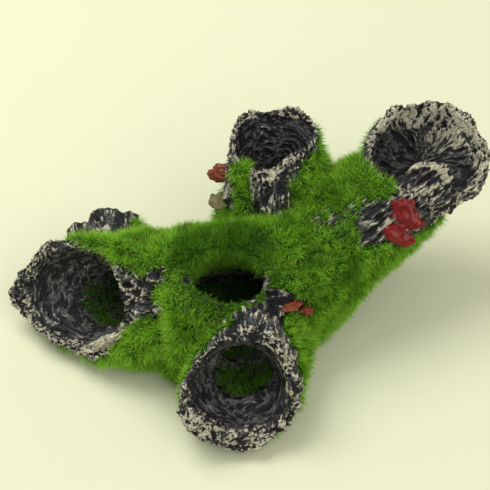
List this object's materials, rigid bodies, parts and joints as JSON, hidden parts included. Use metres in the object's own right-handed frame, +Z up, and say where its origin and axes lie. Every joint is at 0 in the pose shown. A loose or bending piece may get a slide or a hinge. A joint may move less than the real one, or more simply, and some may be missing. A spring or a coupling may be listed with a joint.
{
  "type": "aquarium cave ornament",
  "caption": "Hollow log cave for an aquarium: flared log mouths, a stump and a raised bowl in bark-textured resin, flocked with green moss and bracket fungi.",
  "frame": {"origin": "middle of the whole object's bounding box, on the surface that it stands on", "axes": "+X along the log towards the raised bowl, +Z up, -Y towards the front mouth"},
  "size_m": [0.2398, 0.1594, 0.0859],
  "materials": {
    "bark_resin": "matt cast resin, near black, dry-brushed cream on the ridges",
    "plate_resin": "matt cast resin",
    "moss_flock": "green nylon flock fibres",
    "red_fungus": "gloss red paint",
    "rust_fungus": "satin rust paint",
    "olive_fungus": "matt olive paint"
  },
  "bodies": {
    "root": {"left_log_mouth": "bark_resin", "core": "bark_resin", "front_log_mouth": "bark_resin", "rear_stump": "bark_resin", "right_arm": "bark_resin", "right_bowl": "bark_resin", "left_rear_root": "bark_resin", "base_plate": "plate_resin", "floor_moss": "moss_flock", "core_moss": "moss_flock", "left_moss": "moss_flock", "front_moss": "moss_flock", "arm_moss": "moss_flock", "stump_moss": "moss_flock", "bowl_moss": "moss_flock", "root_moss": "moss_flock", "upper_red_bracket": "red_fungus", "lower_red_bracket": "red_fungus", "small_red_bracket": "red_fungus", "rear_red_bracket": "rust_fungus", "rear_olive_bracket": "olive_fungus", "front_orange_bracket": "rust_fungus", "front_brown_bracket": "rust_fungus"}
  },
  "joints": []
}
